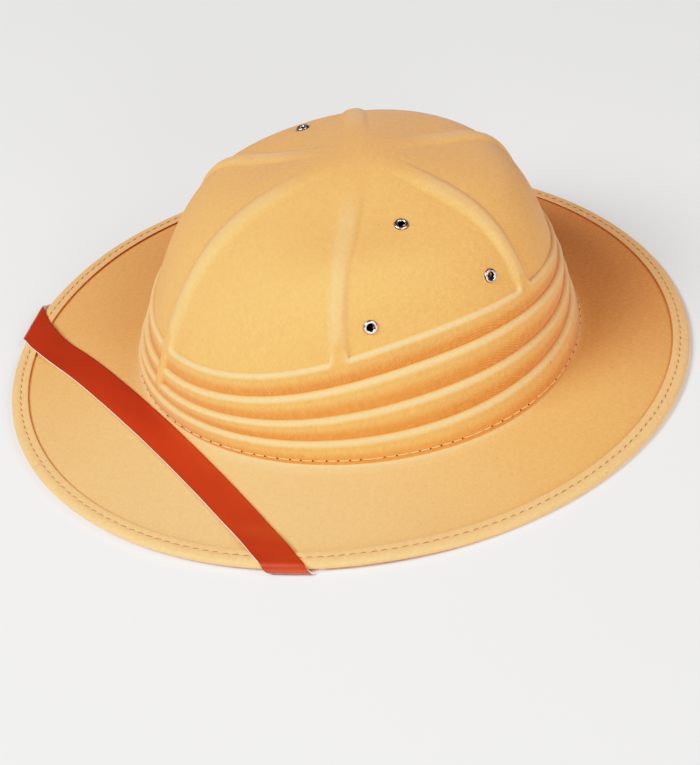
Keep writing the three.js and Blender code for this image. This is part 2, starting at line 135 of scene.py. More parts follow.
def light_studio():
    for row in LAMPS:
        add_lamp(row)
    sky = bpy.data.worlds.new("studio")
    sky.use_nodes = True
    background = sky.node_tree.nodes["Background"].inputs
    background["Color"].default_value = (1, 1, 1, 1)
    background["Strength"].default_value = SKY_STRENGTH
    bpy.context.scene.world = sky


light_studio()
print("lamps:", [row["name"] for row in LAMPS])

# %% [markdown]
# A plain display transform cuts bright cloth off at full red, and its highlights turn yellow. Film keeps
# some of the contrast there and lets the brightest places go pale instead. One curve does that: it
# starts a little flat, is steep in the middle and bends over softly towards white.

# %% A film's response
FILM = {"range": 4.0, "contrast": 1.3, "steps": 16, "crowding": 1.5}


def expose_like_film():
    view = bpy.context.scene.view_settings
    view.view_transform = "Standard"
    view.use_curve_mapping = True
    view.curve_mapping.white_level = [FILM["range"]] * 3
    curve = view.curve_mapping.curves[3]
    shares = np.linspace(0, 1, FILM["steps"] + 1) ** FILM["crowding"]
    shown = 1 - np.exp(-((shares * FILM["range"]) ** FILM["contrast"]))
    curve.points[0].location = (0, 0)
    curve.points[-1].location = (1, shown[-1])
    for point in zip(shares[1:-1], shown[1:-1]):
        curve.points.new(*point)
    view.curve_mapping.update()
    return len(curve.points)


print("film curve of", expose_like_film(), "points")

# %% [markdown]
# ## Painting with formulas
#
# Every finish here is a node tree. A long tree is hard to read as a list of nodes and links, so one
# small class wraps a node's output and lets Python's own signs add the Math nodes: `1 - mask` is a
# subtraction node. A second class holds a material and makes any other node. Colours are mixed with Mix
# nodes, because a Math node would turn them grey, and a number that doesn't change over the surface is
# worked out in Python and set on the shader itself.

# %% Sockets that add up


class Wire:
    """A node's output. A sum with it adds a Math node to its material."""

    def __init__(self, finish, socket):
        self.finish = finish
        self.socket = socket

    def math(self, operation, *others):
        values = dict(enumerate((self, *others)))
        return self.finish.node("ShaderNodeMath", {"operation": operation}, values)

    def __add__(self, other):
        return self.math("ADD", other)

    def __radd__(self, other):
        return self.math("ADD", other)

    def __sub__(self, other):
        return self.math("SUBTRACT", other)

    def __rsub__(self, other):
        return self.math("MULTIPLY_ADD", -1, other)

    def __mul__(self, other):
        return self.math("MULTIPLY", other)

    def __rmul__(self, other):
        return self.math("MULTIPLY", other)

    def __truediv__(self, other):
        return self.math("DIVIDE", other)

    def __mod__(self, other):
        return self.math("FLOORED_MODULO", other)

    def __pow__(self, other):
        return self.math("POWER", other)

    def __abs__(self):
        return self.math("ABSOLUTE")


# %% A material and its nodes


class Finish:
    """A material with one Principled shader. Settings that are the same all over go straight on it."""

    def __init__(self, name, settings):
        self.material = bpy.data.materials.new(name)
        self.material.use_nodes = True
        self.tree = self.material.node_tree
        self.shader = self.tree.nodes["Principled BSDF"]
        self.feed(self.shader, settings)

    def feed(self, node, values):
        for socket, value in values.items():
            if isinstance(value, Wire):
                self.tree.links.new(value.socket, node.inputs[socket])
            else:
                node.inputs[socket].default_value = value

    def node(self, kind, settings, values, out=0):
        made = self.tree.nodes.new(kind)
        for key, setting in settings.items():
            setattr(made, key, setting)
        self.feed(made, values)
        return Wire(self, made.outputs[out])

    def surface(self, **values):
        self.feed(self.shader, {socket.replace("_", " "): value for socket, value in values.items()})
        return self.material


def linear(red, green, blue):
    """Colour for a node from the three numbers, 0 to 255, that a paint chart gives."""
    channels = [value / 255 for value in (red, green, blue)]
    return [c / 12.92 if c <= 0.04045 else ((c + 0.055) / 1.055) ** 2.4 for c in channels] + [1.0]


print("a tan of 226, 176, 110 in linear light:", [round(c, 3) for c in linear(226, 176, 110)])

# %% Small helpers that every finish uses


def attribute(finish, name, out):
    return finish.node("ShaderNodeAttribute", {"attribute_name": name}, {}, out)


def noise(finish, at, scale, detail=2.0, roughness=0.5):
    values = {"Vector": at, "Scale": scale, "Detail": detail, "Roughness": roughness}
    return finish.node("ShaderNodeTexNoise", {}, values)


def between(finish, value, low, high):
    """0 below low and 1 above high, with a soft step between them."""
    settings = {"interpolation_type": "SMOOTHSTEP"}
    return finish.node("ShaderNodeMapRange", settings, {"Value": value, "From Min": low, "From Max": high})


def blend_colour(finish, factor, first, second, how="MIX"):
    settings = {"data_type": "RGBA", "blend_type": how}
    return finish.node("ShaderNodeMix", settings, {0: factor, 6: first, 7: second}, 2)


def stretched(finish, at, scale):
    settings = {"operation": "MULTIPLY"}
    return finish.node("ShaderNodeVectorMath", settings, {0: at, 1: scale})


def raised(finish, height, depth):
    """Bump from a height of 0 to 1, for a relief of that depth in metres."""
    return finish.node("ShaderNodeBump", {}, {"Strength": 1.0, "Distance": depth, "Height": height})


# %% [markdown]
# ## Woven cloth
#
# Canvas is a plain weave: each warp thread goes over one weft thread and under the next. The pattern
# could be a texture picture, but a formula stays sharp at any size. The mesh carries the cloth's own
# coordinates in millimetres, `cloth`, so the threads run straight over the brim as they do on a flat
# sheet pulled over a mould. One thread is a half wave across, and a chequer of the thread numbers says
# which of the two lies on top.
#
# The mesh also carries a tone, which paints light and shade into the cloth's colour. Towards 1 it is paler:
# a painted highlight over each pleat's ledge and along the brim's foot, painted light on the brim's lit
# front, and paler tops on the ribs. Towards -1 it is deeper: painted shade low on each pleat's face and on
# the brim's back, in the crown's shadow.

# %% The plain weave as a height


def plain_weave(finish, along, across):
    """Height of a plain weave, 0 to 1, with one thread for each unit of along and across."""
    warp = abs((along * math.pi).math("SINE"))
    weft = abs((across * math.pi).math("SINE"))
    chequer = (along.math("FLOOR") + across.math("FLOOR")) % 2.0
    return chequer * warp * weft ** 0.4 + (1 - chequer) * weft * warp ** 0.4


def parts(finish, vector):
    """The three numbers of a vector."""
    made = finish.node("ShaderNodeSeparateXYZ", {}, {0: vector})
    outputs = made.socket.node.outputs
    return [Wire(finish, outputs[i]) for i in range(3)]


# %% The canvas of crown and brim
CANVAS = {
    "name": "fine_canvas",
    "thread": 0.72,
    "mid": linear(231, 158, 89),
    # the pale colour is the painted highlight and the paler rib tops; the deep one is the painted shade in
    # the folds
    "pale": linear(238, 186, 133),
    "painted_shade": linear(212, 119, 46),
    "warp_light": linear(240, 174, 110),
    "speck": linear(120, 84, 48),
}


def cloth_finish(row, turn=0.0):
    finish = Finish(row["name"], {"Sheen Weight": 0.25, "Sheen Roughness": 0.45, "Specular IOR Level": 0.3})
    cloth = attribute(finish, "cloth", 1)
    painted_light_tone = attribute(finish, "painted_light_tone", 2)
    settings = {"rotation_type": "Z_AXIS"}
    cloth = finish.node("ShaderNodeVectorRotate", settings, {"Vector": cloth, "Angle": turn})
    wander = noise(finish, cloth, 0.06, 3.0) * 1.2
    u, v, _ = parts(finish, cloth)
    threads = (u / row["thread"] + wander, v / row["thread"] + wander)
    weave = plain_weave(finish, *threads)
    slub = noise(finish, stretched(finish, cloth, (1.1, 0.3, 1)), 1.0, 2.0)
    slub = slub + noise(finish, stretched(finish, cloth, (0.3, 1.1, 1)), 1.0, 2.0)
    patch = noise(finish, cloth, 0.018, 3.0)
    mottle = noise(finish, cloth, 0.22, 4.0, 0.6)
    speck = between(finish, noise(finish, cloth, 0.42, 1.0), 0.775, 0.80)
    # painted light and shade: paler where the tone is above 0, deeper where it is below
    colour = blend_colour(finish, between(finish, painted_light_tone, 0.0, 1.0), row["mid"], row["pale"])
    colour = blend_colour(finish, between(finish, 0 - painted_light_tone, 0.0, 1.0), colour, row["painted_shade"])
    colour = blend_colour(finish, weave * 0.45 * slub, colour, row["warp_light"])
    shade = 0.68 + 0.08 * patch + 0.12 * mottle + 0.24 * slub
    grey = finish.node("ShaderNodeCombineXYZ", {}, {0: shade, 1: shade, 2: shade})
    colour = blend_colour(finish, 1.0, colour, grey, "MULTIPLY")
    colour = blend_colour(finish, speck * 0.55, colour, row["speck"])
    fuzz = noise(finish, cloth, 3.1, 3.0, 0.7)
    relief = weave * 0.75 + fuzz * 0.3 + mottle * 0.15
    return finish.surface(
        Base_Color=colour,
        Roughness=0.78 + 0.12 * mottle + 0.08 * (1 - weave),
        Normal=raised(finish, relief, 0.10 * MM),
    )


canvas = cloth_finish(CANVAS)
print("canvas:", len(canvas.node_tree.nodes), "nodes, thread", CANVAS["thread"], "mm")

# %% [markdown]
# ## The lines that the hat is built on
#
# The crown's outline isn't a circle or an ellipse: it is longer in front than behind, and it is
# narrower at the sides. Each crease, the crown's foot and the rim is a closed line given by its reach
# from the centre line and its height at five places on one side. A sum of cosines goes through the
# five, so the line is smooth all round and the same on both sides. These are the sizes of the frame's
# own shell, in millimetres, counted from the crown's centre line.

# %% Closed lines round the hat
SAMPLED_AT = np.radians([0, 45, 90, 135, 180])
REACH = {
    "crease1": (99.8, 87.0, 80.4, 89.3, 92.0),
    "crease2": (103.2, 89.4, 83.4, 92.6, 94.5),
    "crease3": (105.8, 94.2, 88.0, 95.2, 97.5),
    "crease4": (107.6, 98.2, 93.0, 98.2, 100.0),
    "foot": (108.8, 102.1, 99.6, 104.0, 105.0),
    "rim": (173.8, 163.7, 153.8, 154.7, 156.4),
}
HEIGHT = {
    "crease1": (43.6, 51.9, 61.6, 58.4, 53.0),
    "crease2": (33.4, 39.8, 48.6, 48.6, 44.0),
    "crease3": (25.6, 28.4, 33.5, 35.0, 34.0),
    "crease4": (19.0, 19.0, 20.3, 24.2, 24.5),
    "foot": (8.6, 7.7, 7.3, 9.4, 10.2),
    "rim": (1.8, 1.8, 1.8, 1.8, 1.8),
}
RIM_SKEW = (1.0, 0.6, 0.9)
CENTRE_LINE = (REACH["rim"][0] - REACH["rim"][-1]) / 2


def around(samples, azimuth):
    """Value at an azimuth of the even curve through five samples."""
    orders = np.arange(len(SAMPLED_AT))
    terms = np.linalg.solve(np.cos(np.outer(SAMPLED_AT, orders)), samples)
    return sum(term * np.cos(order * azimuth) for order, term in enumerate(terms))


def reach_of(name, azimuth):
    """How far a line reaches. The rim is a little out of true, so it has some sines too."""
    skew = RIM_SKEW if name == "rim" else ()
    return around(REACH[name], azimuth) + sum(
        amount * np.sin((i + 1) * azimuth) for i, amount in enumerate(skew)
    )


def polar(reach, azimuth, height):
    x, y = reach * np.sin(azimuth), -reach * np.cos(azimuth)
    return np.stack([x, y, height + 0 * azimuth], axis=-1)


def on_line(name, azimuth, out=0.0, up=0.0):
    """Points of a line, moved out and up."""
    return polar(reach_of(name, azimuth) + out, azimuth, around(HEIGHT[name], azimuth) + up)


def mix(a, b, share):
    return a + (b - a) * share


def unit(vectors):
    return vectors / np.linalg.norm(vectors, axis=-1, keepdims=True)


def lengths_along(points):
    """How far along its line each point lies."""
    steps = np.linalg.norm(np.diff(points, axis=0), axis=-1)
    return np.concatenate([[0], np.cumsum(steps)])


def soft_step(low, high, x):
    t = np.clip((x - low) / (high - low), 0, 1)
    return t * t * (3 - 2 * t)


print("rim, mm:", [round(2 * REACH["rim"][2]), round(REACH["rim"][0] + REACH["rim"][-1])])

# %% [markdown]
# ## The crown's cap: six ribs and six panels
#
# The cap could be sculpted, but its shape is regular: a low dome whose shoulder turns down steeply,
# with panels pressed in between the ribs. So it is two domes, a high one for the ribs and a lower one
# for the panels, and a mask chooses between them by the distance to the nearest rib. The mask has a
# round top and a sharp foot, which is what a thin board and cloth do when they are pressed. Near the
# top the two domes run together.

# %% Ribs and the two domes
APEX = {"y": 5.7, "z": 106.7}
RIBS = (0.0, 54.3, 120.0, 180.0, 240.0, 305.7)
END_RIBS = (0.0, 180.0)
RIB_WIDTH = (1.0, 5.8)
RIB_END_WIDTH = (0.8, 4.2)
LEDGE_GAP = (0.5, 3.6)
DOME = (0.30, 0.86, 0.77, 0.46, 0.64)
SHOULDER = (0.23, 1.18, 0.92, 0.63, 1.01)
PANEL_DROP = 1.5
EDGE_RUN = 0.965


def panel_mask(azimuth, reach, ribs, width=RIB_WIDTH):
    """0 on the middle of a rib and 1 on the panels."""
    turns = (azimuth[..., None] - np.radians(ribs)) / (2 * np.pi)
    nearest = np.abs(turns - np.round(turns)).min(axis=-1) * 2 * np.pi * reach
    across = np.clip((nearest - width[0]) / (width[1] - width[0]), 0, 1)
    return 1 - (1 - across**2) ** 0.9


def dome_drop(run, azimuth):
    dome, shoulder = around(DOME, azimuth), around(SHOULDER, azimuth)
    return dome * run**2 + (1 - dome - shoulder) * run**4 + shoulder * run**8


def dome_point(edge, run, azimuth, drop):
    """A dome from the apex, run 0, to its edge, run 1."""
    x = edge[..., 0] * run
    y = mix(APEX["y"], edge[..., 1], run)
    top = APEX["z"] - drop
    z = top - (top - edge[..., 2]) * dome_drop(run, azimuth)
    return np.stack([x, y, z], axis=-1)


def cap_point(run, azimuth):
    reach = run * reach_of("crease1", azimuth)
    share = soft_step(0.55, 1.0, run)
    width = [mix(wide, narrow, share) for wide, narrow in zip(RIB_WIDTH, RIB_END_WIDTH)]
    mask = panel_mask(azimuth, reach, RIBS, width)[..., None]
    high = dome_point(nose(0, azimuth), run * EDGE_RUN, azimuth, 0.0)
    low = dome_point(on_line("crease1", azimuth), run, azimuth, PANEL_DROP)
    low[..., 2] += PANEL_DROP * (1 - soft_step(0.10, 0.50, run))
    return mix(high, low, mask)


# %% [markdown]
# ## Four pleats
#
# A pleat is a ledge that comes out of a sharp crease, rolls over, and falls as an almost upright face
# into the next crease. Drawn as a section it is two short curves, each with three control points: the
# roll from the crease to the face, and the face down to the next crease with a slight belly. The first
# crease stops at every rib, the second and third only at the front and back ribs, and the fourth goes
# right round. Where a pleat stops, the mask flattens both curves into one smooth slope.

# %% Sections of the pleats
PLEATS = [
    {"crease": "crease1", "ledge": 2.4, "drop": 1.2, "stops_at": RIBS},
    {"crease": "crease2", "ledge": 2.9, "drop": 1.3, "stops_at": END_RIBS},
    {"crease": "crease3", "ledge": 2.9, "drop": 1.3, "stops_at": END_RIBS},
    {"crease": "crease4", "ledge": 2.4, "drop": 1.4, "stops_at": ()},
]
ROLL = {"out": 0.55, "up": 0.95, "length": 0.30}
BELLY = {"at": 0.75, "out": 0.45}
FLAT_CREASE_AT = 0.86


def curve(a, b, c, t):
    """A curve from a to c that is drawn towards b."""
    return (1 - t) ** 2 * a + 2 * t * (1 - t) * b + t**2 * c


def nose(i, azimuth):
    return on_line(PLEATS[i]["crease"], azimuth, PLEATS[i]["ledge"], -PLEATS[i]["drop"])


def pleat_mask(i, azimuth):
    """1 where pleat i is full and 0 where a rib stops it."""
    ribs = PLEATS[i]["stops_at"]
    if not ribs:
        return np.ones_like(azimuth)[..., None]
    reach = reach_of(PLEATS[i]["crease"], azimuth)
    return panel_mask(azimuth, reach, ribs, LEDGE_GAP)[..., None]


def crease(i, azimuth):
    """The inner corner above pleat i. The crown's foot comes after the last."""
    if i == 0:
        return cap_point(1.0, azimuth)
    if i == len(PLEATS):
        return on_line("foot", azimuth, 0.0, FILLET["height"])
    flat = mix(nose(i - 1, azimuth), nose(i, azimuth), FLAT_CREASE_AT)
    return mix(flat, on_line(PLEATS[i]["crease"], azimuth), pleat_mask(i, azimuth))


def roll_end(i, azimuth):
    return mix(nose(i, azimuth), crease(i + 1, azimuth), ROLL["length"])


def roll_point(i, t, azimuth):
    """The ledge of pleat i from its crease, t = 0, over its edge to its face, t = 1."""
    corner = on_line(
        PLEATS[i]["crease"],
        azimuth,
        PLEATS[i]["ledge"] + ROLL["out"],
        ROLL["up"] - PLEATS[i]["drop"],
    )
    corner = mix(nose(i, azimuth), corner, pleat_mask(i, azimuth))
    return curve(crease(i, azimuth), corner, roll_end(i, azimuth), t)


def face_point(i, t, azimuth):
    """The face of pleat i from its roll, t = 0, to the crease below, t = 1."""
    start, end = roll_end(i, azimuth), crease(i + 1, azimuth)
    mask = pleat_mask(i + 1, azimuth) if i + 1 < len(PLEATS) else 1.0
    belly = mix(start, end, BELLY["at"]) + mask * polar(BELLY["out"], azimuth, 0.0)
    return curve(start, belly, end, t)


print("pleat heights at the side, mm:", [
    round(HEIGHT[row["crease"]][2] - HEIGHT[after][2], 1)
    for row, after in zip(PLEATS, ["crease2", "crease3", "crease4", "foot"])
])

# %% [markdown]
# ## The brim
#
# The brim leaves the crown's foot with a small welt, where the cloth was pressed into the corner of the
# mould, and falls to the rim in a nearly straight slope. The strap is folded under the rim in front and
# holds it off the table there, so the front of the rim is a little higher than the sides.

# %% The brim's surface
WALL = {"top": 2.2, "side": 3.0, "brim": 2.4, "rim": 1.3}
LEAN = {"top": 90, "side": 45, "foot": 62}
TAPE = {"thickness": 0.9, "width": 8.0, "roundness": 1.8}
GAP = 0.36
EDGE_INSET = TAPE["thickness"] + GAP
FRONT_LIFT = {"height": 1.45, "full": 60, "none": 85}
FILLET = {"reach": 4.0, "height": 0.75}
WELT = {"height": 0.35, "at": 3.2, "width": 0.9}


def front_lift(azimuth):
    turns = azimuth / (2 * np.pi)
    from_front = np.degrees(np.abs(turns - np.round(turns)) * 2 * np.pi)
    return FRONT_LIFT["height"] * (1 - soft_step(FRONT_LIFT["full"], FRONT_LIFT["none"], from_front))


def brim_point(share, azimuth):
    """The top of the brim from the crown's foot, share 0, to its edge inside the tape, share 1."""
    foot = on_line("foot", azimuth)
    edge = on_line("rim", azimuth, -EDGE_INSET, WALL["rim"] / 2 + front_lift(azimuth))
    point = mix(foot, edge, np.asarray(share)[..., None])
    point[..., 2] = mix(foot[..., 2], edge[..., 2], share**1.12)
    return point


def brim_share(azimuth, reach):
    foot = reach_of("foot", azimuth)
    return np.clip((reach - foot) / (reach_of("rim", azimuth) - EDGE_INSET - foot), 0, 1)


def welted(point, azimuth):
    """The brim's points, raised into the corner by the crown's foot, with the welt beside it."""
    beyond = np.hypot(point[..., 0], point[..., 1]) - reach_of("foot", azimuth)
    point = point.copy()
    point[..., 2] += FILLET["height"] * np.clip(1 - beyond / FILLET["reach"], 0, 1) ** 2
    point[..., 2] += WELT["height"] * np.exp(-(((beyond - WELT["at"]) / WELT["width"]) ** 2))
    return point


print("brim width at the side, mm:", round(REACH["rim"][2] - REACH["foot"][2], 1))

# %% [markdown]
# ## From points to a mesh
#
# Rows of points that go round the hat make a grid, and a grid is easy to turn into faces: each point is
# joined to its neighbour in the row and to the two above them. The columns stand close together over
# the ribs, where the shape turns quickly, and spread out over the panels.

# %% Columns and grids
RIB_COLUMNS, PANEL_COLUMNS = 19, 51
RIB_REACH = RIB_WIDTH[1] * 1.3
NARROWEST_GAP = math.radians(RIBS[1] - RIBS[0])


def columns(reach):
    """Azimuths of the columns for a row at this reach."""
    half = min(RIB_REACH / reach, 0.3 * NARROWEST_GAP)
    azimuths = []
    for rib, following in zip(RIBS, RIBS[1:] + (RIBS[0] + 360,)):
        start, end = math.radians(rib), math.radians(following)
        azimuths += list(np.linspace(start - half, start + half, RIB_COLUMNS))
        azimuths += list(np.linspace(start + half, end - half, PANEL_COLUMNS + 2)[1:-1])
    return np.array(azimuths)


def grid_faces(rows, count, looped):
    """Corner numbers of the faces between rows of count points that go round."""
    strips = rows if looped else rows - 1
    i, j = np.meshgrid(np.arange(strips), np.arange(count), indexing="ij")
    below, after = (i + 1) % rows, (j + 1) % count
    corners = [i * count + j, below * count + j, below * count + after, i * count + after]
    return np.stack(corners, axis=-1).reshape(-1, 4)


def set_attribute(mesh, name, values):
    kind, slot = ("FLOAT_VECTOR", "vector") if values.ndim == 2 else ("FLOAT", "value")
    layer = mesh.attributes.new(name, kind, "POINT")
    layer.data.foreach_set(slot, values.astype(np.float32).ravel())


def face_outwards(mesh):
    """Turns every face of a closed mesh outwards and drops points that no face uses."""
    edit = bmesh.new()
    edit.from_mesh(mesh)
    loose = [point for point in edit.verts if not point.link_faces]
    bmesh.ops.delete(edit, geom=loose, context="VERTS")
    bmesh.ops.recalc_face_normals(edit, faces=edit.faces)
    edit.to_mesh(mesh)
    edit.free()


def make_piece(name, points, faces, materials, attributes=None, shift=CENTRE_LINE, sharp=48):
    """A smooth mesh object from points in millimetres, with edges kept sharp above an angle."""
    mesh = bpy.data.meshes.new(name)
    placed = (np.asarray(points) + (0, shift, 0)) * MM
    mesh.from_pydata(placed.tolist(), [], [list(map(int, face)) for face in faces])
    for key, values in (attributes or {}).items():
        set_attribute(mesh, key, values)
    for material in materials:
        mesh.materials.append(material)
    face_outwards(mesh)
    mesh.shade_smooth()
    mesh.set_sharp_from_angle(angle=math.radians(sharp))
    piece = bpy.data.objects.new(name, mesh)
    bpy.context.scene.collection.objects.link(piece)
    print(name, len(mesh.vertices), "points", len(mesh.polygons), "faces")
    return piece


# %% [markdown]
# ## The shell
#
# Outside and inside are one closed skin: the rows run from the apex down the crown and out along the
# brim, round its edge, and back under it and up inside. The inner rows are the outer ones set off by
# the wall's thickness, so the inside shows the ribs and pleats too, as it does on a thin moulding.

# %% Rows of the shell
CAP_ROWS, ROLL_ROWS, FACE_ROWS, BRIM_ROWS = 62, 7, 6, 26
WIDE = 1000


def even_runs(count):
    """Runs of the cap's rows, the same distance apart along its mean profile."""
    fine = np.linspace(0, 1, 300)
    profile = np.array([cap_point(run, SAMPLED_AT) for run in fine])
    steps = np.linalg.norm(np.diff(profile, axis=0), axis=-1).mean(axis=-1)
    lengths = np.concatenate([[0], np.cumsum(steps)])
    return np.interp(np.linspace(0, lengths[-1], count + 1)[1:], lengths, fine)


def shell_row(reach, surface, wall, lean, painted_light_tone):
    azimuth = columns(min(reach, reach_of("crease1", np.pi / 2)))
    made = {"azimuth": azimuth, "outer": surface(azimuth), "painted_light_tone": painted_light_tone(azimuth)}
    return made | {"wall": wall, "lean": math.radians(lean)}


def cap_row(run):
    share = soft_step(0, 1, run)
    wall, lean = (mix(row["top"], row["side"], share) for row in (WALL, LEAN))

    def rib_tone(azimuth):
        # the ribs' tops are paler, fading in between a fifth and a half of the way out from the apex
        mask = panel_mask(azimuth, run * reach_of("crease1", azimuth), RIBS)
        return 0.45 * (1 - mask) * soft_step(0.2, 0.5, run)

    reach = run * reach_of("crease1", np.pi / 2)
    return shell_row(reach, lambda azimuth: cap_point(run, azimuth), wall, lean, rib_tone)


def pleat_row(surface, t, i, below, painted_light_tone):
    """A row of pleat i, whose painted light and shade fade out where the pleat below is stopped."""
    return shell_row(
        WIDE,
        lambda azimuth: surface(i, t, azimuth),
        WALL["side"],
        LEAN["side"],
        lambda azimuth: painted_light_tone * pleat_mask(below, azimuth)[..., 0],
    )


def pleat_rows():
    rows = []
    for i in range(len(PLEATS)):
        for t in np.linspace(0, 1, ROLL_ROWS + 1)[1:]:
            # painted highlight over each ledge's rounded edge
            rows.append(pleat_row(roll_point, t, i, i, 0.9 * math.sin(math.pi * min(t * 1.25, 1.0))))
        last = i + 1 == len(PLEATS)
        for t in np.linspace(0, 1, FACE_ROWS + 1)[1:]:
            # painted shade that deepens down each face; on the lowest face it eases off just above the
            # crown's foot
            painted_light_tone = -soft_step(-0.2, 0.65, t) * (1 - 0.6 * soft_step(0.75, 1.0, t) * last)
            rows.append(pleat_row(face_point, t, i, i if last else i + 1, painted_light_tone))
    rows[-1]["lean"] = math.radians(LEAN["foot"])
    return rows


def brim_painted_light(azimuth, share):
    """Painted light on the brim: a painted highlight along the crown's foot, paler towards the lit front,
    and painted shade towards the back, in the crown's shadow.
    """
    faded = 0.75 * np.cos(azimuth - math.radians(35)) - 0.15
    return faded + 0.4 * math.exp(-((share / 0.05) ** 2))


def brim_row(share):
    return shell_row(
        WIDE,
        lambda azimuth: welted(brim_point(share, azimuth), azimuth),
        mix(WALL["brim"], WALL["rim"], share),
        90,
        lambda azimuth: brim_painted_light(azimuth, share),
    )


ROWS = [cap_row(run) for run in even_runs(CAP_ROWS)] + pleat_rows()
ROWS += [brim_row(share) for share in np.linspace(0, 1, BRIM_ROWS + 1)[1:] ** 1.7]
print("rows:", len(ROWS), "columns:", len(ROWS[0]["azimuth"]))

# %% [markdown]
# ## Eyelets in the side panels
#
# Each side has one eyelet high up and two low down. An eyelet is punched through the cloth and pulls it
# in, so the shell gets a shallow dimple round each one and a real round hole. Cutting the holes with a
# boolean would leave long thin faces, so four of the grid's own faces are taken out, the eight points
# round them are moved onto a circle, outside and inside, and a short tunnel joins the two.

# %% Where the eyelets sit
EYELETS = {
    "left_1": (85.1, 0.596),
    "left_2": (64.6, 0.968),
    "left_3": (109.4, 0.945),
    "right_1": (-91.6, 0.638),
    "right_2": (-64.6, 0.968),
    "right_3": (-109.4, 0.945),
}
DIMPLE = {"depth": 0.45, "radius": 5.2}
HOLE_RADIUS = 2.45
HOLE_DEPTH = 9


def eyelet_axis(azimuth, run):
    """The place on the cap and the outward direction there."""
    at, step = np.radians(azimuth), 0.02
    centre = cap_point(run, np.array(at))
    along = cap_point(run + step, np.array(at)) - cap_point(run - step, np.array(at))
    across = cap_point(run, np.array(at + step)) - cap_point(run, np.array(at - step))
    normal = np.cross(along, across)
    return centre, unit(normal)


AXES = {name: eyelet_axis(*place) for name, place in EYELETS.items()}


def dimpled(points):
    for centre, normal in AXES.values():
        away = np.linalg.norm(points - centre, axis=-1)
        points = points - DIMPLE["depth"] * np.exp(-((away / DIMPLE["radius"]) ** 2))[..., None] * normal
    return points


print("eyelet heights, mm:", {name: round(float(axis[0][2]), 1) for name, axis in AXES.items()})

# %% Round holes in a grid of points
NEIGHBOURS = [(-1, -1), (-1, 0), (-1, 1), (0, 1), (1, 1), (1, 0), (1, -1), (0, -1)]


def open_hole(points, first, last, centre, normal):
    """Moves the eight points round the axis onto a circle, in the rows from first to last.

    Returns their numbers in order round the axis, and the numbers of the four faces inside."""
    away = points[first:last] - centre
    depth = away @ normal
    sideways = np.linalg.norm(away - depth[..., None] * normal, axis=-1)
    sideways[np.abs(depth) > HOLE_DEPTH] = np.inf
    row, column = np.unravel_index(np.argmin(sideways), sideways.shape)
    row += first
    count = points.shape[1]
    side = np.array(Vector(normal).orthogonal().normalized())
    over = np.cross(normal, side)
    ring = []
    for down, along in NEIGHBOURS:
        i, j = row + down, (column + along) % count
        away = points[i, j] - centre
        depth = away @ normal
        away -= depth * normal
        points[i, j] = centre + depth * normal + unit(away) * HOLE_RADIUS
        ring.append((math.atan2(away @ over, away @ side), i * count + j))
    inside = [(row + down) * count + (column + along) % count for down in (-1, 0) for along in (-1, 0)]
    return [number for _, number in sorted(ring)], inside


def tunnel(outer, inner):
    """Faces that join two rings of the same count."""
    return [[outer[k - 1], outer[k], inner[k], inner[k - 1]] for k in range(len(outer))]


# %% Build the shell's mesh


def inner_points(row):
    inwards = row["wall"] * math.cos(row["lean"])
    offset = polar(-inwards, row["azimuth"], -row["wall"] * math.sin(row["lean"]))
    return row["outer"] + offset


def cloth_coordinates(points):
    """Flat coordinates of a sheet pulled over the mould: it stretches where it falls steeply."""
    x, y = points[..., 0], points[..., 1] - APEX["y"]
    reach = np.hypot(x, y) + 1e-9
    pulled = reach + 0.45 * (APEX["z"] - points[..., 2])
    return np.stack([x / reach * pulled, y / reach * pulled, 0 * x], axis=-1)


def shell_rings():
    inner = [row for i, row in enumerate(ROWS) if i % 2 == 1 or i == len(ROWS) - 1][::-1]
    points = [dimpled(row["outer"]) for row in ROWS] + [inner_points(row) for row in inner]
    painted_light_tone = [row["painted_light_tone"] for row in ROWS] + [0 * row["painted_light_tone"] for row in inner]
    return np.array(points), np.array(painted_light_tone)


def add_shell():
    rings, painted_light_tones = shell_rings()
    rows, count = painted_light_tones.shape
    faces = grid_faces(rows, count, looped=False).tolist()
    gone, extra = set(), []
    for centre, normal in AXES.values():
        outer, above = open_hole(rings, 1, len(ROWS), centre, normal)
        inner, below = open_hole(rings, len(ROWS), rows - 1, centre, normal)
        gone |= {*above, *below}
        extra += tunnel(outer, inner)
    faces = [face for number, face in enumerate(faces) if number not in gone] + extra
    apex = [0, APEX["y"], APEX["z"]]
    under = [0, APEX["y"], APEX["z"] - WALL["top"]]
    points = np.concatenate([rings.reshape(-1, 3), [apex, under]])
    top, bottom, last = len(points) - 2, len(points) - 1, (rows - 1) * count
    for j in range(count):
        after = (j + 1) % count
        faces.append([top, j, after])
        faces.append([bottom, last + after, last + j])
    attributes = {
        "cloth": cloth_coordinates(points),
        "painted_light_tone": np.concatenate([painted_light_tones.ravel(), [0.0, 0.0]]),
    }
    return make_piece("canvas_shell", points, faces, [canvas], attributes)


shell = add_shell()

# %% [markdown]
# ## The edge binding
#
# A woven tape is folded over the rim and sewn through. Its section is drawn once, as distances in from
# the rim and heights, and carried round the hat. The seam pulls the tape down into a shallow groove that
# dips at every stitch, which is what makes a sewn edge look sewn.

# %% The tape's section
SEAM = {"inset": 4.5, "pitch": 4.7, "groove": 0.34, "width": 0.75}
TAPE_STEP = 1.15


def rim_azimuths(spacing, start=0.0):
    """Azimuths of points evenly spaced along the rim, about that far apart."""
    fine = np.linspace(0, 2 * np.pi, 2881)
    lengths = lengths_along(on_line("rim", fine))
    count = round(lengths[-1] / spacing)
    wanted = (np.arange(count) + start) * lengths[-1] / count
    return np.interp(wanted, lengths, fine), wanted


def tape_top(inset, azimuth):
    """Height of the tape's upper side, without its seam."""
    share = brim_share(azimuth, reach_of("rim", azimuth) - inset)
    return brim_point(share, azimuth)[..., 2] + GAP + TAPE["thickness"]


def groove(inset):
    return SEAM["groove"] * math.exp(-(((inset - SEAM["inset"]) / SEAM["width"]) ** 2))


